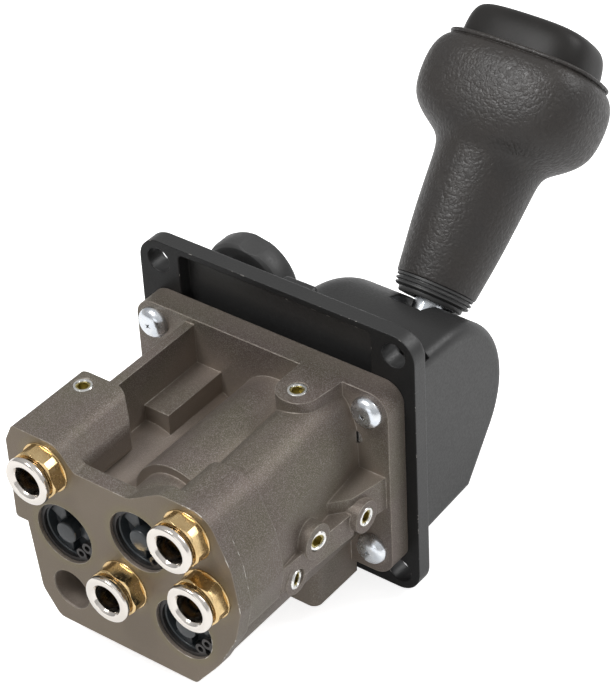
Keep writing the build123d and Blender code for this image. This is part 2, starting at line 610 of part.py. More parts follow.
for label, start in (("left", HUB_X0), ("right", HUB_X1 - BUSH_L)):
    bush = rod_x(BUSH_R, start, start + BUSH_L, PIVOT_Y, PIVOT_Z)
    bush -= rod_x(PIN_R + RUNNING_GAP, start - 1, start + BUSH_L + 1, PIVOT_Y, PIVOT_Z)
    save(bush, label + "_hub_bush")

CAM_HALF_SPAN = 42.0
CAM_STEPS = 6
cam_points = []
for step in range(CAM_STEPS + 1):
    angle = 180.0 - CAM_HALF_SPAN + 2 * CAM_HALF_SPAN * step / CAM_STEPS
    radius = CAM_R + CAM_RISE * math.radians(180.0 - angle)
    cam_points.append((PIVOT_Y + radius * math.cos(math.radians(angle)),
                       PIVOT_Z + radius * math.sin(math.radians(angle))))
cam_back = (PIVOT_Y + HUB_R + 1.6, PIVOT_Z)
cam_edges = Spline(*cam_points) + ThreePointArc(cam_points[-1], cam_back, cam_points[0])
cam = prism_x(make_face(cam_edges), pilot_x - 2.5, pilot_x + 2.5)
cam -= rod_x(HUB_R, HUB_X0 - 1, HUB_X1 + 1, PIVOT_Y, PIVOT_Z)
save(cam, "pilot_cam")

ARM_T = 4.6
arm_plan = outline([
    (PIVOT_Y - 8.8, PIVOT_Z, 8.0), (PIVOT_Y - 8.8, PIVOT_Z + 9.4, 8.0), (PIVOT_Y + 8.8, PIVOT_Z + 9.4, 8.0),
    (PIVOT_Y + 8.8, PIVOT_Z, 8.0), (PIVOT_Y + 1.3, TIP_BORE[1] + 1.6, 0.6), (PIVOT_Y - 1.3, TIP_BORE[1] + 1.6, 0.6),
])
arm = prism_x(arm_plan, tip_x - ARM_T / 2, tip_x + ARM_T / 2)
arm += Pos(tip_x, PIVOT_Y, tip_z) * Sphere(BALL_R)
arm -= rod_x(HUB_R, HUB_X0 - 1, HUB_X1 + 1, PIVOT_Y, PIVOT_Z)
arm -= lever_rod(SHAFT_BOSS_R + 0.1, 0.0, 14.0)
save(arm, "rocker_arm")

SHIELD_OUT = HUMP_R - HUMP_WALL - 0.5
SHIELD_T = 1.2
SHIELD_HALF_SPAN = 44.0
shield_profile = sector(
    SHIELD_OUT - SHIELD_T, SHIELD_OUT, LEVER_ANGLE - SHIELD_HALF_SPAN, LEVER_ANGLE + SHIELD_HALF_SPAN)
shield = prism_x(shield_profile, LEVER_X - 8.5, LEVER_X + 8.5)
shield -= lever_rod(SHAFT_R, 10.0, 40.0)
save(shield, "dust_shield")

SHAFT_END = 86.0
shaft = lever_rod(SHAFT_R, BUSH_R + 0.6, SHAFT_END)
save(shaft, "lever_shaft")

# Return spring: turns of flat wire round the hub between the cam and the rocker arm.
COIL_R = 9.4
WIRE_T = 1.6
COIL_TURNS = 3
COIL_PITCH = 2.2
COIL_START = 9.4
coils = []
for turn in range(COIL_TURNS):
    coil_x = COIL_START + turn * COIL_PITCH
    coil = rod_x(COIL_R, coil_x, coil_x + WIRE_T, PIVOT_Y, PIVOT_Z)
    coils.append(coil - rod_x(COIL_R - WIRE_T, coil_x - 1.0, coil_x + WIRE_T + 1.0, PIVOT_Y, PIVOT_Z))
save(Compound(children=coils), "return_spring")

# Grip: ribbed ring, lock nut, hard insert, soft moulded grip and its cap.
nut = on_lever(extrude(RegularPolygon(6.5, 6, major_radius=False), amount=3.0), RING_START + 1.0)
nut -= lever_rod(SHAFT_R, 20.0, 40.0)

RING_R = 11.0
ring = lever_rod(9.2, RING_START, RING_START + 1.4)
ring += lever_rod(RING_R, RING_START + 1.2, GRIP_START)
ring -= lever_rod(RING_R + 1, RING_START + 2.2, RING_START + 2.9) - lever_rod(10.3, RING_START, GRIP_START)
ring -= lever_rod(7.6, RING_START - 1.0, GRIP_START + 1.0)
save(nut, "lever_lock_nut")
save(ring, "grip_ring")

INSERT_R = 7.4
insert = lever_rod(INSERT_R, GRIP_START, SHAFT_END + 4.0) - lever_rod(SHAFT_R, GRIP_START - 1, SHAFT_END)
save(insert, "grip_insert")

# Half width along X, half depth and squareness of evenly spaced sections: a round tapering neck that
# swells into a broad, flat-sided head.
SECTION_STEP = 4.0
GRIP_SECTIONS = [
    (11.2, 11.2, 2.0), (11.8, 11.8, 2.0), (12.3, 12.3, 2.0), (12.8, 12.8, 2.0), (13.3, 13.3, 2.0),
    (13.7, 13.7, 2.0), (14.1, 14.1, 2.0), (14.4, 14.4, 2.0), (14.7, 14.7, 2.0), (15.4, 15.2, 2.0),
    (18.4, 16.4, 2.2), (22.8, 17.8, 2.5), (25.0, 18.5, 2.75), (25.9, 19.0, 2.8), (26.0, 19.0, 2.8),
    (25.2, 18.4, 2.8), (23.0, 16.8, 2.8),
]
SECTION_POINTS = 16
GRIP_LIP = 66.2
CAP_POCKET = (16.2, 11.6, 7.0)
CAP_PLATE = (17.3, 13.2, 8.5)
CAP_TONGUE = 6.4


def superellipse(half_x, half_y, squareness):
    """Closed section between an ellipse and a rounded rectangle."""
    points = []
    for index in range(SECTION_POINTS):
        angle = 2 * math.pi * (index + 0.5) / SECTION_POINTS
        across = math.cos(angle)
        up = math.sin(angle)
        points.append((math.copysign(half_x * abs(across) ** (2 / squareness), across),
                       math.copysign(half_y * abs(up) ** (2 / squareness), up)))
    return make_face(Spline(*points, periodic=True))


def rounded_slab(size, start, end):
    """Slab about Z with rounded corners, from (half width, half depth, corner radius)."""
    half_x, half_y, corner = size
    return Pos(0, 0, start) * extrude(RectangleRounded(2 * half_x, 2 * half_y, corner), amount=end - start)


sections = [
    Plane.XY.offset(index * SECTION_STEP) * superellipse(*row) for index, row in enumerate(GRIP_SECTIONS)]
grip = loft(sections)
LIP_START = (len(GRIP_SECTIONS) - 1) * SECTION_STEP
grip += Pos(0, 0, LIP_START) * extrude(superellipse(*GRIP_SECTIONS[-1]), amount=GRIP_LIP - LIP_START)
grip -= Pos(0, 0, (SHAFT_END + 4.0 - GRIP_START) / 2) * Cylinder(INSERT_R, SHAFT_END + 4.0 - GRIP_START)
grip -= rounded_slab(CAP_POCKET, GRIP_LIP - CAP_TONGUE, GRIP_LIP + 1.0)
save(on_lever(grip, GRIP_START), "grip")

cap = rounded_slab(CAP_PLATE, GRIP_LIP, CAP_END - GRIP_START)
cap = fillet(cap.faces().sort_by(Axis.Z)[-1].edges(), 3.2)
cap += rounded_slab(CAP_POCKET, GRIP_LIP - CAP_TONGUE, GRIP_LIP)
save(on_lever(cap, GRIP_START), "grip_cap")
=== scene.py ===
import math
import bpy
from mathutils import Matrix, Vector


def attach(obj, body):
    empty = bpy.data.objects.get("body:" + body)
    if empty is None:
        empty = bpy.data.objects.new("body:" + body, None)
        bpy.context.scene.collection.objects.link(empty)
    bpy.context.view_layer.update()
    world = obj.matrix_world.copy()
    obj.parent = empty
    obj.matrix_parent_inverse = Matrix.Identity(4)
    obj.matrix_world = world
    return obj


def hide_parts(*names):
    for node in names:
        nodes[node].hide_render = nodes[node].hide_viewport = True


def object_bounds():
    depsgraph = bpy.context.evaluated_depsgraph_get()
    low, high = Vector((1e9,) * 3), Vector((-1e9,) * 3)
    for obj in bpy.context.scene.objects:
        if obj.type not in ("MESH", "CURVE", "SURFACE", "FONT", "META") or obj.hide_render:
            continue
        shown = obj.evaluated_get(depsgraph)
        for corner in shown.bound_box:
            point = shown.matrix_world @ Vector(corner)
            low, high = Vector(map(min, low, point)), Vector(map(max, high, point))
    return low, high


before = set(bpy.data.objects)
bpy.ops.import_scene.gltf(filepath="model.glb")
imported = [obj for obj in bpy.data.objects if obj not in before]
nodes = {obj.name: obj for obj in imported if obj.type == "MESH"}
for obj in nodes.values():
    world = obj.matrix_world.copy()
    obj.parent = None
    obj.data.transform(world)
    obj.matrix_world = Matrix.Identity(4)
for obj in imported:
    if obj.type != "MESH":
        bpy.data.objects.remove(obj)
cad_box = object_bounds()
scene = bpy.context.scene
scene.view_settings.view_transform = "Standard"


# Camera: a long lens, well back to the right of the port face and above it. It sees the ports, the
# right flank and the whole lever with little perspective.
camera_place = (0.35163, -0.42654, 0.43904)
camera_turn = (53.053, 2.507, 36.718)
camera_lens = bpy.data.cameras.new("camera")
camera_lens.lens = 137.76
camera_lens.sensor_width = 36.0
camera = bpy.data.objects.new("camera", camera_lens)
camera.location = camera_place
camera.rotation_euler = [math.radians(angle) for angle in camera_turn]
scene.collection.objects.link(camera)
scene.camera = camera


# Lamps: a soft box high over the left shoulder lights the port face. A taller one, high behind on the
# right, draws streaks along the barrels, and a weak one low in front opens the shadows.
def soft_box(name, place, width, height, watts):
    """Lamp panel at this place in metres, facing the middle of the mounting plate."""
    panel = bpy.data.lights.new(name, "AREA")
    panel.shape = "RECTANGLE"
    panel.size = width
    panel.size_y = height
    panel.energy = watts
    box = bpy.data.objects.new(name, panel)
    box.location = place
    box.rotation_euler = (-Vector(place)).to_track_quat("-Z", "Y").to_euler()
    scene.collection.objects.link(box)


soft_box("key_box", (-0.30, -0.55, 1.2), 0.5, 0.5, 12.5)
soft_box("back_box", (0.65, 0.75, 0.85), 0.5, 0.7, 6.0)
soft_box("front_fill", (0.2, -1.3, 0.30), 0.7, 0.5, 1.0)


# Room: white wherever it is looked at, and grey where it only lights the valve. The grey is lighter
# overhead than below and dims towards the left, and a share of the white shows in shiny surfaces.
LOW_GREY = (0.25, (0.29, 0.29, 0.30))
HIGH_GREY = (0.70, (0.52, 0.52, 0.52))
LEFT_DIMMING = (-0.9, 0.3, 0.45, 1.0)
WHITE = (1.0, 1.0, 1.0, 1.0)
SHINE_SHARE = 0.35
# Sockets of a Mix node that mixes colours.
SHARE, UNDER, OVER, MIXED = 0, 6, 7, 2


def white_share(tree):
    """1 for what is seen straight or through a clear piece, less for what shines in a surface."""
    rays = tree.nodes.new("ShaderNodeLightPath")
    seen = tree.nodes.new("ShaderNodeMath")
    seen.operation = "MAXIMUM"
    shine = tree.nodes.new("ShaderNodeMath")
    shine.operation = "MULTIPLY_ADD"
    shine.use_clamp = True
    shine.inputs[1].default_value = SHINE_SHARE
    tree.links.new(rays.outputs["Is Camera Ray"], seen.inputs[0])
    tree.links.new(rays.outputs["Is Transmission Ray"], seen.inputs[1])
    tree.links.new(rays.outputs["Is Glossy Ray"], shine.inputs[0])
    tree.links.new(seen.outputs[0], shine.inputs[2])
    return shine.outputs[0]


surround = bpy.data.worlds.new("surround")
surround.use_nodes = True
scene.world = surround
room = surround.node_tree.nodes
room_links = surround.node_tree.links
outlook = room.new("ShaderNodeTexCoord")
way = room.new("ShaderNodeSeparateXYZ")
greys = room.new("ShaderNodeValToRGB")
for stop, (height, colour) in zip(greys.color_ramp.elements, (LOW_GREY, HIGH_GREY)):
    stop.position = height
    stop.color = (*colour, 1.0)
dimming = room.new("ShaderNodeMapRange")
for index, number in enumerate(LEFT_DIMMING, start=1):
    dimming.inputs[index].default_value = number
dimmed = room.new("ShaderNodeVectorMath")
dimmed.operation = "SCALE"
whitened = room.new("ShaderNodeMix")
whitened.data_type = "RGBA"
whitened.inputs[OVER].default_value = WHITE
room_links.new(outlook.outputs["Generated"], way.inputs[0])
room_links.new(way.outputs["Z"], greys.inputs["Fac"])
room_links.new(way.outputs["X"], dimming.inputs[0])
room_links.new(greys.outputs["Color"], dimmed.inputs[0])
room_links.new(dimming.outputs[0], dimmed.inputs["Scale"])
room_links.new(dimmed.outputs[0], whitened.inputs[UNDER])
room_links.new(white_share(surround.node_tree), whitened.inputs[SHARE])
room_links.new(whitened.outputs[MIXED], room["Background"].inputs["Color"])
room["Background"].inputs["Strength"].default_value = 1.0


# Floor: a sheet of matt white paper just under the valve. It glows where it is looked at, so that it
# runs into the white room with no edge.
FLOOR_WIDTH = 8.0
FLOOR_GAP = 0.0005
PAPER_WHITE = (0.86, 0.86, 0.86, 1.0)
PAPER_GLOW = (0.80, 0.80, 0.80, 1.0)
bpy.ops.object.select_all(action="DESELECT")
bpy.ops.mesh.primitive_plane_add(size=FLOOR_WIDTH, location=(0.0, 0.0, cad_box[0][2] - FLOOR_GAP))
floor = bpy.context.object
floor.name = "floor"
paper = bpy.data.materials.new("white_paper")
paper.use_nodes = True
paper_nodes = paper.node_tree.nodes
paper_links = paper.node_tree.links
paper_nodes.clear()
paper_out = paper_nodes.new("ShaderNodeOutputMaterial")
paper_matt = paper_nodes.new("ShaderNodeBsdfDiffuse")
paper_matt.inputs["Color"].default_value = PAPER_WHITE
paper_glow = paper_nodes.new("ShaderNodeEmission")
paper_glow.inputs["Color"].default_value = PAPER_GLOW
paper_both = paper_nodes.new("ShaderNodeAddShader")
paper_links.new(white_share(paper.node_tree), paper_glow.inputs["Strength"])
paper_links.new(paper_matt.outputs[0], paper_both.inputs[0])
paper_links.new(paper_glow.outputs[0], paper_both.inputs[1])
paper_links.new(paper_both.outputs[0], paper_out.inputs["Surface"])
floor.data.materials.append(paper)


# Valve body: a pressure die casting in aluminium, hard-anodised brown all over, with a fine sandy skin. Its
# grain tops carry painted glints and its hollows painted shade. The port face is skimmed flat and stained
# olive round the ports and bores, and cavities and corners are painted lighter as painted light against
# their shade. Every sharp edge carries a painted highlight, and the sharp edges have rubbed through to
# bright metal in places.
MM = 0.001
PORT_FACE = -66.5
ports = {"supply": (-23.2, 17.2), "raise": (23.0, 17.0), "lower": (0.0, -11.0), "pto": (27.8, 0.0)}
bores = {"pto": (-19.4, -3.5), "pilot": (6.1, 6.2), "tip": (18.9, -16.9)}
STAINS = ((ports, 7.4 * MM), (bores, 9.4 * MM))
STAIN_FADE = 2.4 * MM
STAIN_SHARE = 0.55
SKIM_SHARE = 0.8
EDGE_HIGHLIGHT_SHARE = 0.45
LEAST_WEAR = 0.22
EDGE_SAMPLES = 6
HOLLOW_SAMPLES = 8
ANODISED_BROWN = (0.135, 0.105, 0.090)
OLIVE_BROWN = (0.122, 0.108, 0.074)
RED_BROWN = (0.155, 0.128, 0.112)
SAND_CREST_GLINT = (0.34, 0.31, 0.29)
SAND_HOLLOW_SHADE = (0.085, 0.070, 0.058)
SKIMMED_FACE = (0.175, 0.140, 0.100)
OLIVE_STAIN = (0.185, 0.158, 0.085)
PAINTED_CAVITY_FILL = (0.33, 0.28, 0.235)
PAINTED_EDGE_HIGHLIGHT = (0.38, 0.34, 0.29)
BARE_METAL = (0.80, 0.77, 0.72)
# Nearly all of a noise lies between these two values.
NOISE_LOW, NOISE_HIGH = 0.3, 0.7
# Cosine between the true and the rounded normal, where an edge starts to count and where it is full.
EDGE_START, EDGE_FULL = 0.995, 0.93


class Finish:
    """A surface finish built up on one Principled shader, patterned on Object coordinates."""

    def __init__(self, name, colour, metallic=0.0, roughness=0.5, specular=0.5):
        self.material = bpy.data.materials.new(name)
        self.material.use_nodes = True
        self.nodes = self.material.node_tree.nodes
        self.links = self.material.node_tree.links
        self.shader = self.nodes["Principled BSDF"]
        self.shader.inputs["Metallic"].default_value = metallic
        self.shader.inputs["Roughness"].default_value = roughness
        self.shader.inputs["Specular IOR Level"].default_value = specular
        self.shader.inputs["Base Color"].default_value = (*colour, 1.0)
        self.place = self.nodes.new("ShaderNodeTexCoord").outputs["Object"]
        self.base = (*colour, 1.0)
        self.colour = None
        self.normal = None

    def grain(self, size, detail=2.0):
        """Noise of this grain size in metres, from 0 to 1."""
        noise = self.nodes.new("ShaderNodeTexNoise")
        noise.inputs["Scale"].default_value = 1.0 / size
        noise.inputs["Detail"].default_value = detail
        self.links.new(self.place, noise.inputs["Vector"])
        return noise.outputs["Fac"]

    def span(self, value, low, high, to_low=0.0, to_high=1.0):
        """Stretches one range of a value onto another and holds it there."""
        ramp = self.nodes.new("ShaderNodeMapRange")
        for index, number in enumerate((low, high, to_low, to_high), start=1):
            ramp.inputs[index].default_value = number
        self.links.new(value, ramp.inputs[0])
        return ramp.outputs[0]

    def combine(self, operation, first, second):
        """Works out one value from two, the second of which may be a plain number."""
        node = self.nodes.new("ShaderNodeMath")
        node.operation = operation
        self.links.new(first, node.inputs[0])
        if isinstance(second, float):
            node.inputs[1].default_value = second
        else:
            self.links.new(second, node.inputs[1])
        return node.outputs[0]

    def tint(self, share, colour):
        """Lays another colour over the present one where share is 1."""
        mix = self.nodes.new("ShaderNodeMix")
        mix.data_type = "RGBA"
        mix.inputs[OVER].default_value = (*colour, 1.0)
        if self.colour is None:
            mix.inputs[UNDER].default_value = self.base
        else:
            self.links.new(self.colour, mix.inputs[UNDER])
        self.links.new(share, mix.inputs[SHARE])
        self.colour = mix.outputs[MIXED]
        self.links.new(self.colour, self.shader.inputs["Base Color"])

    def patches(self, noise, low, high, share, colour):
        """Lays another colour on, up to this share, as the noise goes from low to high."""
        self.tint(self.span(noise, low, high, 0.0, share), colour)

    def rough(self, noise, smoothest, roughest):
        """Lets the roughness wander with the noise between two values."""
        wander = self.span(noise, NOISE_LOW, NOISE_HIGH, smoothest, roughest)
        self.links.new(wander, self.shader.inputs["Roughness"])

    def set_normal(self, normal):
        """Makes this the normal that the shader and any later relief start from."""
        self.normal = normal
        self.links.new(normal, self.shader.inputs["Normal"])

    def raise_by(self, height, depth, strength):
        """Adds relief of this depth in metres to the surface normal."""
        bump = self.nodes.new("ShaderNodeBump")
        bump.inputs["Distance"].default_value = depth
        bump.inputs["Strength"].default_value = strength
        self.links.new(height, bump.inputs["Height"])
        if self.normal is not None:
            self.links.new(self.normal, bump.inputs["Normal"])
        self.set_normal(bump.outputs["Normal"])

    def rounded(self, radius):
        """The surface normal with all sharp edges rounded by this radius in metres."""
        bevel = self.nodes.new("ShaderNodeBevel")
        bevel.samples = EDGE_SAMPLES
        bevel.inputs["Radius"].default_value = radius
        return bevel.outputs[0]

    def soften(self, radius):
        """Rounds the shading of sharp edges by this radius in metres."""
        self.set_normal(self.rounded(radius))

    def edges(self, radius):
        """1 near an edge sharper than this radius, 0 elsewhere."""
        flat = self.nodes.new("ShaderNodeNewGeometry")
        dot = self.nodes.new("ShaderNodeVectorMath")
        dot.operation = "DOT_PRODUCT"
        self.links.new(self.rounded(radius), dot.inputs[0])
        self.links.new(flat.outputs["Normal"], dot.inputs[1])
        return self.span(dot.outputs["Value"], EDGE_START, EDGE_FULL)

    def hollow(self, reach):
        """1 on open faces, falling to 0 deep in corners and cavities."""
        cover = self.nodes.new("ShaderNodeAmbientOcclusion")
        cover.samples = HOLLOW_SAMPLES
        cover.inputs["Distance"].default_value = reach
        return cover.outputs["AO"]

    def axis(self, letter):
        """Place along one axis in metres."""
        split = self.nodes.new("ShaderNodeSeparateXYZ")
        self.links.new(self.place, split.inputs[0])
        return split.outputs[letter]

    def facing(self, letter):
        """How far the surface looks along one axis, from -1 to 1."""
        split = self.nodes.new("ShaderNodeSeparateXYZ")
        flat = self.nodes.new("ShaderNodeNewGeometry")
        self.links.new(flat.outputs["Normal"], split.inputs[0])
        return split.outputs[letter]

    def from_axis(self, centre):
        """Distance in metres from a line along Y through this X and Z in millimetres."""
        shift = self.nodes.new("ShaderNodeVectorMath")
        shift.operation = "SUBTRACT"
        shift.inputs[1].default_value = (centre[0] * MM, 0.0, centre[1] * MM)
        flatten = self.nodes.new("ShaderNodeVectorMath")
        flatten.operation = "MULTIPLY"
        flatten.inputs[1].default_value = (1.0, 0.0, 1.0)
        length = self.nodes.new("ShaderNodeVectorMath")
        length.operation = "LENGTH"
        self.links.new(self.place, shift.inputs[0])
        self.links.new(shift.outputs[0], flatten.inputs[0])
        self.links.new(flatten.outputs[0], length.inputs[0])
        return length.outputs["Value"]


def dress(finish, *names):
    """Gives CAD nodes a finish and leaves their shape alone."""
    for name in names:
        mesh = nodes[name].data
        mesh.materials.clear()
        mesh.materials.append(finish.material)


casting = Finish("anodised_casting", ANODISED_BROWN, metallic=0.55, roughness=0.50)
casting.soften(0.5 * MM)
casting.patches(casting.grain(24.0 * MM, 3.0), 0.40, 0.62, 1.0, OLIVE_BROWN)
casting.patches(casting.grain(4.5 * MM, 3.0), 0.30, 0.75, 0.45, RED_BROWN)
sand = casting.grain(0.28 * MM, 3.0)
# Painted glints and shade: the sand noise paints the grain tops lighter and its hollows darker, over its
# random tone.
casting.patches(sand, 0.48, 0.70, 0.7, SAND_CREST_GLINT)
casting.patches(sand, 0.50, 0.28, 0.6, SAND_HOLLOW_SHADE)
skimmed = casting.span(casting.axis("Y"), (PORT_FACE + 0.15) * MM, (PORT_FACE + 0.05) * MM)
casting.tint(casting.combine("MULTIPLY", skimmed, SKIM_SHARE), SKIMMED_FACE)
for openings, reach in STAINS:
    for centre in openings.values():
        stain = casting.span(casting.from_axis(centre), reach, reach + STAIN_FADE, STAIN_SHARE, 0.0)
        casting.tint(casting.combine("MULTIPLY", stain, skimmed), OLIVE_STAIN)
# Painted light: cavities and corners, where shade falls, are painted lighter.
casting.patches(casting.hollow(20.0 * MM), 0.75, 0.25, 0.8, PAINTED_CAVITY_FILL)
edge = casting.edges(0.4 * MM)
# Painted highlight: every sharp edge is painted lighter.
casting.tint(casting.combine("MULTIPLY", edge, EDGE_HIGHLIGHT_SHARE), PAINTED_EDGE_HIGHLIGHT)
near_ports = casting.span(casting.axis("Y"), -52.0 * MM, -60.0 * MM)
near_flank = casting.span(casting.axis("X"), 12.0 * MM, 24.0 * MM)
handled = casting.combine("MAXIMUM", casting.combine("MULTIPLY", near_ports, near_flank), LEAST_WEAR)
worn = casting.combine("MULTIPLY", edge, casting.span(casting.grain(2.1 * MM, 4.0), 0.55, 0.61))
casting.tint(casting.combine("MULTIPLY", worn, handled), BARE_METAL)
casting.rough(sand, 0.38, 0.62)
casting.raise_by(sand, 0.12 * MM, 0.8)
dress(casting, "valve_body")


# Operator housing: a die casting in black enamel with a satin skin. The back of its plate has less shine and
# is painted darker as painted shade, and is chipped to grey metal along the rim.
ENAMEL_BLACK = (0.022, 0.022, 0.022)
WORN_BLACK = (0.027, 0.027, 0.026)
PAINTED_SHADE_BLACK = (0.010, 0.010, 0.010)
CHIPPED_GREY = (0.42, 0.40, 0.37)
SATIN_SHINE = 0.46
DULL_SHINE = 0.14
PAINTED_SHADE_SHARE = 0.7
enamel = Finish("black_enamel", ENAMEL_BLACK, roughness=0.42, specular=0.42)
enamel.soften(0.6 * MM)
enamel.patches(enamel.grain(20.0 * MM, 3.0), 0.4, 0.7, 0.5, WORN_BLACK)
peel = enamel.grain(0.6 * MM)
rim = enamel.span(enamel.axis("Y"), 1.2 * MM, 0.4 * MM)
plate_back = enamel.combine("MULTIPLY", rim, enamel.span(enamel.facing("Y"), -0.6, -0.9))
# Painted shade: the back faces of the plate are painted darker.
enamel.tint(enamel.combine("MULTIPLY", plate_back, PAINTED_SHADE_SHARE), PAINTED_SHADE_BLACK)
back_shine = enamel.span(plate_back, 0.0, 1.0, SATIN_SHINE, DULL_SHINE)
enamel.links.new(back_shine, enamel.shader.inputs["Specular IOR Level"])
chipped = enamel.span(enamel.grain(2.2 * MM, 4.0), 0.60, 0.66)
chips = enamel.combine("MULTIPLY", enamel.edges(0.3 * MM), chipped)
enamel.tint(enamel.combine("MULTIPLY", chips, rim), CHIPPED_GREY)
enamel.rough(peel, 0.36, 0.50)
enamel.raise_by(peel, 0.06 * MM, 0.6)
dress(enamel, "operator_housing")


# Deck shoulder: a low step cast in one with the housing, between the knob's seat and the foot of the
# hump. Its left end slopes and its edges are rounded.
SHOULDER_SIZE = (15.0, 3.0, 5.6)
SHOULDER_PLACE = (1.5, 6.9, 38.6)
SHOULDER_SLOPE = 5.0
SHOULDER_ROUNDING = 1.2
WELD = 0.002 * MM
SHARP_CORNER = math.radians(32.0)
SMOOTH_BELOW = math.radians(40.0)
ORIGIN = (0.0, 0.0, 0.0)


def block(name, size):
    """Cube drawn out to this size in millimetres along X, Y and Z, left in edit mode."""
    bpy.ops.object.select_all(action="DESELECT")
    bpy.ops.mesh.primitive_cube_add(size=MM)
    piece = bpy.context.object
    piece.name = name
    bpy.ops.object.mode_set(mode="EDIT")
    bpy.ops.mesh.select_all(action="SELECT")
    bpy.ops.transform.resize(value=size, center_override=ORIGIN)
    return piece


def pick(piece, test, kind="VERT"):
    """Selects only the vertices, or with kind FACE the faces, that pass the test."""
    bpy.ops.mesh.select_mode(type=kind)
    bpy.ops.mesh.select_all(action="DESELECT")
    bpy.ops.object.mode_set(mode="OBJECT")
    for part in piece.data.vertices if kind == "VERT" else piece.data.polygons:
        part.select = test(part)
    bpy.ops.object.mode_set(mode="EDIT")


def weld():
    """Merges points that lie on each other."""
    bpy.ops.mesh.select_all(action="SELECT")
    bpy.ops.mesh.remove_doubles(threshold=WELD)


def finish_shape(piece, corner=0.0, segments=2):
    """Leaves edit mode with outward faces, breaks the sharp corners and shades the piece smooth."""
    weld()
    bpy.ops.mesh.normals_make_consistent(inside=False)
    bpy.ops.object.mode_set(mode="OBJECT")
    if corner:
        rounding = piece.modifiers.new("corner", "BEVEL")
        rounding.width = corner * MM
        rounding.segments = segments
        rounding.limit_method = "ANGLE"
        rounding.angle_limit = SHARP_CORNER
        bpy.ops.object.modifier_apply(modifier=rounding.name)
    bpy.ops.object.shade_smooth_by_angle(angle=SMOOTH_BELOW)


def choose(piece):
    """Makes this piece the only one selected, and the active one."""
    bpy.ops.object.select_all(action="DESELECT")
    piece.select_set(True)
    bpy.context.view_layer.objects.active = piece


def settle(piece, place, turn=(0.0, 0.0, 0.0)):
    """Turns and shifts the piece into the frame and writes that into its mesh."""
    choose(piece)
    piece.rotation_euler = [math.radians(angle) for angle in turn]
    piece.location = [value * MM for value in place]
    bpy.ops.object.transform_apply(location=True, rotation=True, scale=True)


def fit_to(piece, body, slot_name, *cad_nodes):
    """Fixes a modelled piece to its body, and lets it stand for its CAD nodes, if any. The slot name is not
    used.
    """
    if cad_nodes:
        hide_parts(*cad_nodes)
    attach(piece, body)


def wear(piece, finish, body, slot_name, *cad_nodes):
    """Gives a modelled piece one finish all over, and fits it to its body."""
    piece.data.materials.clear()
    piece.data.materials.append(finish.material)
    fit_to(piece, body, slot_name, *cad_nodes)


shoulder = block("deck_shoulder", SHOULDER_SIZE)
pick(shoulder, lambda corner: corner.co.x < 0.0 and corner.co.z > 0.0)
bpy.ops.transform.translate(value=(SHOULDER_SLOPE * MM, 0.0, 0.0))
finish_shape(shoulder, SHOULDER_ROUNDING, segments=4)
settle(shoulder, SHOULDER_PLACE)
wear(shoulder, enamel, "valve", "black_housing")


# Pan-head screws: turned steel with a small cross recess, plated with bright, faintly blue zinc. Four
# hold the casting to the plate, and the lock nut, lever rod and bracket screws are plated alike.
ZINC_BLUE = (0.66, 0.70, 0.75)
ZINC_WHITE = (0.78, 0.80, 0.82)
SCREW_SEAT = -7.2
SCREW_COLUMNS = (-35.35, 35.35)
SCREW_ROWS = (-24.4, 21.8)
FIRST_SPIN, COLUMN_SPIN, ROW_SPIN = 20.0, 67.0, 38.0
OUT_OF_PORTS = (90.0, 0.0, 0.0)
RECESS_ARM = (1.5, 0.3105, 4.2)
RECESS_HEIGHT = 3.3
zinc = Finish("bright_zinc", ZINC_BLUE, metallic=1.0, roughness=0.22)
zinc.soften(0.3 * MM)
zinc_cloud = zinc.grain(1.6 * MM, 4.0)
zinc.patches(zinc_cloud, 0.35, 0.7, 1.0, ZINC_WHITE)
zinc.rough(zinc_cloud, 0.14, 0.34)
zinc.raise_by(zinc.grain(0.4 * MM, 3.0), 0.02 * MM, 0.5)
dress(zinc, "bracket_screws", "lever_lock_nut", "lever_shaft")


def turned(name, profile, sides=48, open_ends=False):
    """Piece about Z, drawn out ring by ring from (radius, height) to (radius, height) in millimetres."""
    bpy.ops.object.select_all(action="DESELECT")
    radius, height = profile[0]
    bpy.ops.mesh.primitive_circle_add(vertices=sides, radius=radius * MM)
    piece = bpy.context.object
    piece.name = name
    bpy.ops.object.mode_set(mode="EDIT")
    bpy.ops.mesh.select_mode(type="VERT")
    bpy.ops.mesh.select_all(action="SELECT")
    bpy.ops.transform.translate(value=(0.0, 0.0, height * MM))
    if not open_ends:
        bpy.ops.mesh.edge_face_add()
        bpy.ops.mesh.select_all(action="SELECT")
    for next_radius, next_height in profile[1:]:
        rise = (next_height - height) * MM
        bpy.ops.mesh.extrude_region_move(TRANSFORM_OT_translate={"value": (0.0, 0.0, rise)})
        share = next_radius / radius
        bpy.ops.transform.resize(value=(share, share, 1.0), center_override=ORIGIN)
        radius = next_radius
        height = next_height
    return piece


def copied(pattern, name):
    """A copy of the pattern with a mesh of its own."""
    choose(pattern)
    bpy.ops.object.duplicate(linked=False)
    piece = bpy.context.object
    piece.name = name
    return piece


def joined(pieces, name):
    """Makes one piece of several."""
    bpy.ops.object.select_all(action="DESELECT")
    for piece in pieces:
        piece.select_set(True)
    bpy.context.view_layer.objects.active = pieces[0]
    bpy.ops.object.join()
    whole = bpy.context.object
    whole.name = name
    return whole


def cut(piece, tool):
    """Takes the tool's shape out of the piece and throws the tool away."""
    choose(piece)
    sink = piece.modifiers.new("sink", "BOOLEAN")
    sink.operation = "DIFFERENCE"
    sink.solver = "EXACT"
    sink.object = tool
    bpy.ops.object.modifier_apply(modifier=sink.name)
    bpy.data.objects.remove(tool)


def recess_arm(turn):
    """Cutter for one arm of the cross recess, standing in the crown of the head."""
    arm = block("recess_arm", RECESS_ARM)
    bpy.ops.object.mode_set(mode="OBJECT")
    settle(arm, (0.0, 0.0, RECESS_HEIGHT), (0.0, 0.0, turn))
    return arm


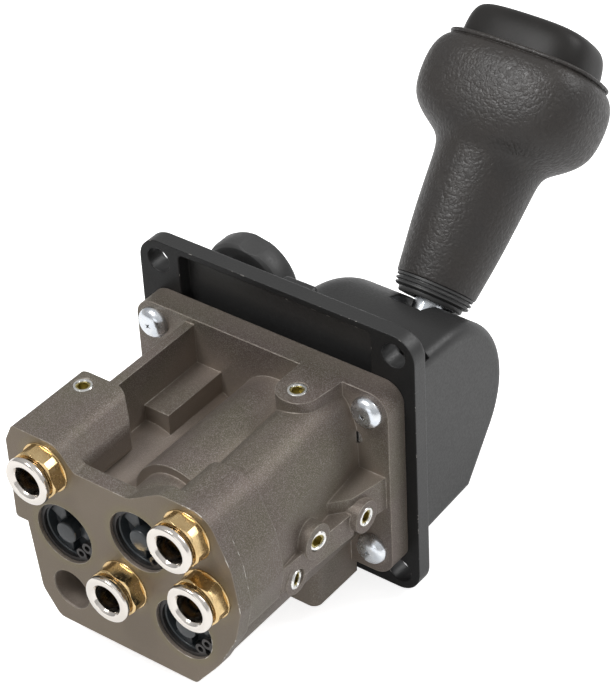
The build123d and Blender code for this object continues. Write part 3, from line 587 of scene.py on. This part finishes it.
pan_head = turned("pan_head", [
    (2.45, -12.0), (2.45, 0.0), (4.55, 0.0), (4.6, 0.5), (4.5, 1.3), (4.15, 2.0), (3.5, 2.6), (2.5, 3.0),
    (1.2, 3.18), (0.3, 3.2)], sides=40)
finish_shape(pan_head, 0.12)
screws = []
for column, across in enumerate(SCREW_COLUMNS):
    for row, up in enumerate(SCREW_ROWS):
        spin = FIRST_SPIN + COLUMN_SPIN * column + ROW_SPIN * row
        screw = copied(pan_head, "pan_head_screw")
        cut(screw, recess_arm(spin))
        cut(screw, recess_arm(spin + 90.0))
        settle(screw, (across, SCREW_SEAT, up), OUT_OF_PORTS)
        screws.append(screw)
bpy.data.objects.remove(pan_head)
wear(joined(screws, "pan_head_screws"), zinc, "valve", "zinc_screws", "body_screws")


# Passage plugs: hexagon-socket set screws in zinc-plated steel, turned in flush to close the drilled
# passages. The rim is bright and the socket keeps the yellow of the passivation.
BRIGHT_RIM = (0.80, 0.80, 0.78)
GREYED_RIM = (0.66, 0.66, 0.62)
SOCKET_YELLOW = (0.42, 0.36, 0.14)
SOCKET_BROWN = (0.24, 0.20, 0.09)
KEY_RADIUS = 1.62
KEY_LENGTH = 4.0
SOCKET_MOUTH = 1.81
SOCKET_SILL = -0.2
PLUG_PLACES = (
    ((-29.3, -43.5, 26.1), (0.0, 0.0, 10.0)), ((19.5, -16.0, 27.8), (0.0, 0.0, 25.0)),
    ((40.6, -16.6, -4.7), (0.0, 90.0, 0.0)), ((38.0, -34.0, -1.7), (17.0, 90.0, 0.0)),
    ((37.0, -42.0, -9.0), (-12.0, 90.0, 0.0)))
plug_steel = Finish("passivated_plug", BRIGHT_RIM, metallic=1.0, roughness=0.2)
plug_steel.patches(plug_steel.grain(1.2 * MM, 3.0), 0.42, 0.6, 0.5, GREYED_RIM)
plug_steel.rough(plug_steel.grain(0.6 * MM, 3.0), 0.14, 0.34)
plug_socket = Finish("passivated_socket", SOCKET_YELLOW, metallic=1.0, roughness=0.35)
plug_socket.patches(plug_socket.grain(0.9 * MM, 3.0), 0.4, 0.65, 0.7, SOCKET_BROWN)
plug_socket.rough(plug_socket.grain(0.6 * MM, 3.0), 0.25, 0.45)

set_screw = turned("set_screw", [
    (2.88, -4.9), (2.88, -0.35), (2.55, 0.0), (2.05, 0.0), (1.8, -0.35), (1.8, -0.40)], sides=36)
finish_shape(set_screw)
bpy.ops.object.select_all(action="DESELECT")
bpy.ops.mesh.primitive_cylinder_add(vertices=6, radius=KEY_RADIUS * MM, depth=KEY_LENGTH * MM)
key = bpy.context.object
key.data.materials.append(plug_socket.material)
set_screw.data.materials.append(plug_steel.material)
set_screw.data.materials.append(plug_socket.material)
cut(set_screw, key)
for face in set_screw.data.polygons:
    corners = [set_screw.data.vertices[index].co for index in face.vertices]
    in_mouth = max(corner.xy.length for corner in corners) < SOCKET_MOUTH * MM
    below_sill = max(corner.z for corner in corners) < SOCKET_SILL * MM
    face.material_index = 1 if in_mouth and below_sill else 0
plugs = []
for place, turn in PLUG_PLACES:
    plug = copied(set_screw, "passage_plug")
    settle(plug, place, turn)
    plugs.append(plug)
bpy.data.objects.remove(set_screw)
fit_to(joined(plugs, "socket_plugs"), "valve", "passage_plug_steel", "passage_plugs")


# Bore plugs: black glass-filled mouldings that close the three bores in the port face. Each is a cup
# with a raised middle, three ribs that widen outwards and a groove for its seal. A circlip of
# phosphated spring steel holds it, and the seals are black nitrile.
MOULDING_BLACK = (0.020, 0.024, 0.027)
PHOSPHATE_GREY = (0.045, 0.043, 0.043)
PHOSPHATE_PALE = (0.075, 0.068, 0.065)
NITRILE_BLACK = (0.012, 0.012, 0.012)
CUP_FLOOR = -5.2
MIDDLE_RADIUS = 3.4
RIB_HEIGHT = 2.6
RIB_SPACING = 120.0
RIB_TURN = 128.0
RIB_HALF_WIDTH = 21.0
moulding = Finish("black_moulding", MOULDING_BLACK, roughness=0.35)
moulding.soften(0.3 * MM)
moulding.rough(moulding.grain(0.8 * MM, 3.0), 0.28, 0.45)
moulding.raise_by(moulding.grain(0.5 * MM), 0.03 * MM, 0.6)
circlip_steel = Finish("phosphated_spring_steel", PHOSPHATE_GREY, metallic=0.7, roughness=0.42)
circlip_steel.patches(circlip_steel.grain(1.0 * MM, 3.0), 0.4, 0.7, 0.7, PHOSPHATE_PALE)
nitrile = Finish("nitrile", NITRILE_BLACK, roughness=0.6)
nitrile.raise_by(nitrile.grain(0.5 * MM), 0.03 * MM, 0.5)


def under_rib(face):
    """True for the faces of the cup's floor that a rib stands on."""
    on_floor = abs(face.center.z - CUP_FLOOR * MM) < 0.01 * MM and face.center.xy.length > MIDDLE_RADIUS * MM
    turn = math.degrees(math.atan2(face.center.y, face.center.x)) - RIB_TURN
    from_rib = (turn + RIB_SPACING / 2.0) % RIB_SPACING - RIB_SPACING / 2.0
    return on_floor and abs(from_rib) < RIB_HALF_WIDTH


cup = turned("ribbed_cup", [
    (9.1, -9.5), (9.1, -7.55), (7.6, -7.55), (7.6, -5.65), (9.1, -5.65), (9.1, -2.1), (8.3, -2.1),
    (7.6, -2.3), (7.4, CUP_FLOOR), (3.3, CUP_FLOOR), (3.2, -0.75), (2.9, -0.45), (0.4, -0.4)], sides=72)
weld()
pick(cup, under_rib, kind="FACE")
bpy.ops.mesh.extrude_region_move(TRANSFORM_OT_translate={"value": (0.0, 0.0, RIB_HEIGHT * MM)})
finish_shape(cup, 0.12)
for bore, (across, up) in bores.items():
    plug = copied(cup, bore + "_ribbed_plug")
    settle(plug, (across, PORT_FACE, up), OUT_OF_PORTS)
    wear(plug, moulding, "valve", "plug_plastic", bore + "_bore_plug")
    dress(circlip_steel, bore + "_bore_circlip")
    dress(nitrile, bore + "_plug_seal")
bpy.data.objects.remove(cup)
dress(circlip_steel, "pivot_clips")


# Push-in fittings: brass bodies turned from hexagon bar and screwed into the port face. A tube seal
# lies inside, and a nickel-plated release collar slides in the mouth.
BRASS_YELLOW = (0.72, 0.53, 0.27)
BRASS_BROWN = (0.52, 0.35, 0.16)
NICKEL_WARM = (0.72, 0.68, 0.63)
ACROSS_FLATS = 13.6
FLATS_TURN = 17.0
FACET_EDGE = math.radians(12.0)
COLLAR_DROP = 0.25
brass = Finish("turned_brass", BRASS_YELLOW, metallic=1.0, roughness=0.2)
brass.patches(brass.grain(3.0 * MM, 4.0), 0.42, 0.7, 0.6, BRASS_BROWN)
brass.rough(brass.grain(1.2 * MM, 3.0), 0.14, 0.32)
nickel = Finish("nickel_plate", NICKEL_WARM, metallic=1.0, roughness=0.14)
nickel.rough(nickel.grain(1.5 * MM, 4.0), 0.08, 0.24)
nickel.raise_by(nickel.grain(0.7 * MM), 0.02 * MM, 0.4)


def fitting_body():
    """Hexagon with its corners turned down, round foot on the port face and screwed stub below."""
    hexagon = turned("hexagon", [
        (5.1, 0.5), (5.1, 4.3), (5.9, 4.9), (6.75, 4.9), (7.3, 4.45), (7.3, 0.5), (5.1, 0.5)], sides=72,
        open_ends=True)
    weld()
    for flat in range(6):
        angle = math.radians(FLATS_TURN + 60.0 * flat)
        outward = Vector((math.cos(angle), math.sin(angle), 0.0))
        bpy.ops.mesh.select_all(action="SELECT")
        bpy.ops.mesh.bisect(plane_co=outward * ACROSS_FLATS / 2.0 * MM, plane_no=outward, use_fill=True,
                            clear_outer=True, clear_inner=False)
    finish_shape(hexagon, 0.12)
    bpy.ops.object.shade_smooth_by_angle(angle=FACET_EDGE)
    foot = turned("foot", [
        (5.1, 0.0), (5.1, 0.6), (7.2, 0.6), (7.4, 0.4), (7.4, 0.0), (5.1, 0.0)], open_ends=True)
    finish_shape(foot, 0.08)
    stub = turned("stub", [
        (3.0, -10.0), (3.0, -8.0), (4.1, -8.0), (4.1, -4.0), (5.3, -4.0), (5.3, -2.2), (5.1, -2.2),
        (5.1, 0.0), (5.9, 0.0), (5.9, -10.0), (3.0, -10.0)], open_ends=True)
    finish_shape(stub)
    return joined([hexagon, foot, stub], "fitting_body")


def release_collar():
    """Rounded press ring, the narrow neck behind it and the sleeve that grips the tube."""
    collar = turned("release_collar", [
        (4.1, -0.25), (4.1, 6.6), (4.75, 7.45), (5.35, 7.55), (6.3, 7.5), (6.75, 7.2), (6.93, 6.6),
        (6.93, 6.15), (6.75, 5.8), (6.3, 5.62), (5.4, 5.58), (4.97, 5.3), (4.97, -0.25), (4.1, -0.25)],
        sides=64, open_ends=True)
    finish_shape(collar, 0.1)
    return collar


first_body = fitting_body()
first_collar = release_collar()
for port, (across, up) in ports.items():
    fitting = copied(first_body, port + "_brass_body")
    settle(fitting, (across, PORT_FACE, up), OUT_OF_PORTS)
    wear(fitting, brass, "valve", "fitting_brass", port + "_fitting_body")
    dress(nitrile, port + "_tube_seal")
    collar = copied(first_collar, port + "_press_ring")
    settle(collar, (across, PORT_FACE - COLLAR_DROP, up), OUT_OF_PORTS)
    wear(collar, nickel, port + "_collar", "nickel_plate", port + "_release_collar")
bpy.data.objects.remove(first_body)
bpy.data.objects.remove(first_collar)


# Lever mechanism, under the housing: pressed and turned steel swings on bushes of sintered bronze,
# and the spools that it moves are hard alloy with a ground skin.
STEEL_GREY = (0.45, 0.45, 0.46)
BRONZE_BROWN = (0.50, 0.33, 0.16)
SPOOL_GREY = (0.42, 0.42, 0.44)
turned_steel = Finish("turned_steel", STEEL_GREY, metallic=1.0, roughness=0.3)
turned_steel.rough(turned_steel.grain(1.0 * MM, 3.0), 0.22, 0.42)
dress(turned_steel, "lever_bracket", "pivot_pin", "lever_hub", "pilot_cam", "rocker_arm", "return_spring",
      "pto_link", "pto_stem")
bronze = Finish("sintered_bronze", BRONZE_BROWN, metallic=1.0, roughness=0.45)
bronze.raise_by(bronze.grain(0.3 * MM), 0.03 * MM, 0.6)
dress(bronze, "left_hub_bush", "right_hub_bush")
spool_skin = Finish("ground_spool", SPOOL_GREY, metallic=1.0, roughness=0.18)
spool_skin.rough(spool_skin.grain(1.0 * MM, 3.0), 0.12, 0.28)
dress(spool_skin, "tip_spool", "pilot_plunger", "pto_spool")


# Dust shield and grip insert: black acetal mouldings. The shield slides under the housing round the
# lever, and the insert is hidden inside the grip.
ACETAL_BLACK = (0.018, 0.018, 0.018)
acetal = Finish("black_acetal", ACETAL_BLACK, roughness=0.4)
acetal.raise_by(acetal.grain(0.8 * MM), 0.03 * MM, 0.5)
dress(acetal, "dust_shield", "grip_insert")


# PTO knob: a satin black moulding pressed on the stem. Its back is dished, and its edge has five
# scallops for the fingers.
SATIN_GREY = (0.040, 0.040, 0.040)
SATIN_PALE = (0.050, 0.050, 0.049)
SCALLOPS = 5
SCALLOP_RADIUS = 9.0
SCALLOP_CENTRE = 21.8
FIRST_SCALLOP = -80.0
KNOB_SEAT = (-20.6, 9.7, 26.3)
TOWARDS_HAND = (-90.0, 0.0, 0.0)
satin_black = Finish("satin_black", SATIN_GREY, roughness=0.45, specular=0.5)
satin_black.patches(satin_black.grain(6.0 * MM, 3.0), 0.4, 0.7, 0.5, SATIN_PALE)
satin_black.rough(satin_black.grain(1.0 * MM, 3.0), 0.38, 0.54)
satin_black.raise_by(satin_black.grain(0.5 * MM), 0.03 * MM, 0.5)
knob = turned("pull_knob", [
    (3.05, 0.0), (6.2, 0.0), (6.6, 0.6), (7.0, 2.6), (8.2, 3.7), (9.8, 3.5), (11.4, 2.9), (12.6, 3.0),
    (13.5, 3.7), (13.85, 5.0), (13.85, 9.2), (13.4, 10.4), (12.2, 11.1), (9.0, 11.35), (3.0, 11.4),
    (0.4, 11.4)], sides=72)
finish_shape(knob)
for scallop in range(SCALLOPS):
    angle = math.radians(FIRST_SCALLOP + 360.0 / SCALLOPS * scallop)
    centre = SCALLOP_CENTRE * MM * Vector((math.cos(angle), math.sin(angle), 0.0))
    bpy.ops.object.select_all(action="DESELECT")
    bpy.ops.mesh.primitive_cylinder_add(
        vertices=64, radius=SCALLOP_RADIUS * MM, depth=30.0 * MM, location=centre)
    cut(knob, bpy.context.object)
bpy.ops.object.mode_set(mode="EDIT")
finish_shape(knob, 0.35)
settle(knob, KNOB_SEAT, TOWARDS_HAND)
wear(knob, satin_black, "pto_control", "knob_plastic", "pto_knob")


# Ribbed ring under the grip: a satin black moulding with two grooves round it, clamped on the lever
# rod by the lock nut.
LEVER_FOOT = (24.2, 17.0, 6.2)
LEVER_LEAN = (-45.5, 0.0, 0.0)
ribs = turned("ribbed_ring", [
    (7.7, 27.1), (8.9, 27.1), (9.2, 27.5), (9.2, 28.3), (10.3, 28.6), (10.6, 28.9), (10.6, 29.3),
    (10.1, 29.45), (10.1, 29.75), (10.8, 29.9), (10.9, 30.3), (10.7, 30.55), (10.2, 30.65), (10.2, 30.95),
    (10.95, 31.1), (10.95, 31.75), (7.7, 31.75), (7.7, 27.1)], sides=72, open_ends=True)
finish_shape(ribs)
settle(ribs, LEVER_FOOT, LEVER_LEAN)
wear(ribs, satin_black, "lever", "ring_plastic", "grip_ring")


# Grip: a soft skin with a leather grain, moulded over the insert. It is drawn out of an eight-sided
# cage, ring by ring up the lever, and subdivision rounds it into neck, shoulders and rim.
SKIN_BROWN = (0.031, 0.027, 0.024)
SKIN_FADED = (0.029, 0.027, 0.026)
CREASE_SHADE_BLACK = (0.020, 0.017, 0.016)
PEBBLE_SIZE = 1.3 * MM
CAGE_SIDES = 8
ROUNDINGS = 4
ON_SIDE = 0.05


def caged(name, rings):
    """Each ring is (height, half width, half depth, squareness, shift across) in millimetres."""
    bpy.ops.object.select_all(action="DESELECT")
    bpy.ops.mesh.primitive_circle_add(vertices=CAGE_SIDES, radius=MM)
    piece = bpy.context.object
    piece.name = name
    bpy.ops.object.mode_set(mode="EDIT")
    bpy.ops.mesh.select_all(action="SELECT")
    bpy.ops.mesh.edge_face_add()
    half_root = math.sqrt(0.5)
    old_height, old_shift = 0.0, 0.0
    old_side, old_corner = (1.0, 1.0), (half_root, half_root)
    for order, (height, half_x, half_y, squareness, shift) in enumerate(rings):
        # Subdivision draws each point in to four parts of itself and one of each neighbour, over six.
        # So the cage stands outside the wanted line: these shares bring its sides and corners onto it.
        reach = 0.5 ** (1.0 / squareness)
        share_corner = (6.0 * reach - 1.5) / 3.5
        share_side = 1.5 - 0.5 * share_corner
        side = (half_x * share_side, half_y * share_side)
        corner = (half_x * share_corner, half_y * share_corner)
        pick(piece, lambda point: point.index >= len(piece.data.vertices) - CAGE_SIDES)
        rise = (0.0, 0.0, (height - old_height) * MM)
        if order:
            bpy.ops.mesh.extrude_region_move(TRANSFORM_OT_translate={"value": rise})
        else:
            bpy.ops.transform.translate(value=rise)
        bpy.ops.transform.translate(value=((shift - old_shift) * MM, 0.0, 0.0))
        centre = Vector((shift * MM, 0.0, height * MM))
        for sides, old, new in ((True, old_side, side), (False, old_corner, corner)):
            pick(piece, lambda point: point.index >= len(piece.data.vertices) - CAGE_SIDES and sides == (
                min(abs(point.co.x - centre.x), abs(point.co.y)) < ON_SIDE * MM))
            bpy.ops.transform.resize(value=(new[0] / old[0], new[1] / old[1], 1.0), center_override=centre)
        old_height, old_shift, old_side, old_corner = height, shift, side, corner
    finish_shape(piece)
    rounding = piece.modifiers.new("rounding", "SUBSURF")
    rounding.levels = ROUNDINGS
    rounding.render_levels = ROUNDINGS
    bpy.ops.object.modifier_apply(modifier=rounding.name)
    bpy.ops.object.shade_smooth()
    return piece


leather = Finish("grained_skin", SKIN_BROWN, roughness=0.45, specular=0.42)
leather.patches(leather.grain(12.0 * MM, 3.0), 0.40, 0.65, 0.6, SKIN_FADED)
pebbles = leather.nodes.new("ShaderNodeTexVoronoi")
pebbles.feature = "DISTANCE_TO_EDGE"
pebbles.inputs["Scale"].default_value = 1.0 / PEBBLE_SIZE
leather.links.new(leather.place, pebbles.inputs["Vector"])
creases = leather.span(pebbles.outputs["Distance"], 0.0, 0.30)
wrinkles = leather.grain(1.1 * MM, 4.0)
# Painted shade: the creases between the grain's pebbles are painted darker.
leather.patches(creases, 0.35, 0.0, 0.35, CREASE_SHADE_BLACK)
leather.rough(wrinkles, 0.34, 0.52)
leather.raise_by(creases, 0.08 * MM, 0.6)
leather.raise_by(wrinkles, 0.30 * MM, 0.7)
skin = caged("moulded_grip", [
    (31.8, 10.6, 10.6, 2.0, 0.0), (31.8, 11.3, 11.3, 2.0, 0.0), (32.4, 11.4, 11.4, 2.0, 0.0),
    (38.0, 12.1, 12.1, 2.0, 0.0), (46.0, 13.1, 13.1, 2.0, -0.1), (54.0, 13.8, 13.8, 2.0, -0.2),
    (62.0, 14.4, 14.4, 2.0, -0.2), (66.5, 14.7, 14.7, 2.0, -0.3), (70.0, 15.8, 15.2, 2.05, -0.5),
    (72.5, 19.8, 16.9, 2.3, -0.7), (76.0, 24.0, 17.9, 2.6, -0.9), (80.0, 25.8, 18.6, 2.8, -0.9),
    (86.0, 26.3, 19.0, 2.8, -0.9), (91.5, 25.9, 18.8, 2.8, -0.9), (94.9, 24.2, 17.6, 2.8, -0.9),
    (96.2, 22.7, 16.5, 2.8, -0.9), (96.4, 22.2, 16.1, 2.8, -0.9), (96.6, 22.2, 16.1, 2.8, -0.9),
    (96.8, 22.7, 16.5, 2.8, -0.9), (97.5, 22.9, 16.6, 2.8, -0.9), (98.0, 22.2, 16.1, 2.8, -0.9),
    (97.9, 20.4, 14.9, 2.9, -0.9), (96.5, 19.6, 14.3, 3.0, -0.9), (96.4, 8.0, 8.0, 2.0, -0.9)])
settle(skin, LEVER_FOOT, LEVER_LEAN)
wear(skin, leather, "lever", "grip_leather", "grip")


# Cap: a smoother satin moulding with a domed top, pressed into the recess at the end of the grip.
# It is drawn out of the same sort of cage.
CAP_BLACK = (0.015, 0.014, 0.013)
CAP_PALE = (0.022, 0.020, 0.019)
cap_skin = Finish("satin_cap", CAP_BLACK, roughness=0.45, specular=0.22)
cap_skin.patches(cap_skin.grain(4.0 * MM, 3.0), 0.4, 0.7, 0.5, CAP_PALE)
cap_skin.raise_by(cap_skin.grain(0.6 * MM), 0.04 * MM, 0.5)
cap = caged("grip_cap_moulding", [
    (96.6, 19.0, 13.9, 3.2, -0.9), (96.8, 19.3, 14.2, 3.2, -0.9), (98.5, 19.3, 14.2, 3.2, -0.9),
    (103.0, 18.9, 13.9, 3.2, -1.2), (106.4, 17.6, 12.8, 3.1, -1.5), (107.6, 14.4, 10.4, 3.0, -1.8),
    (107.8, 9.0, 6.5, 2.6, -1.8), (107.8, 3.0, 2.5, 2.0, -1.8)])
settle(cap, LEVER_FOOT, LEVER_LEAN)
wear(cap, cap_skin, "lever", "cap_plastic", "grip_cap")
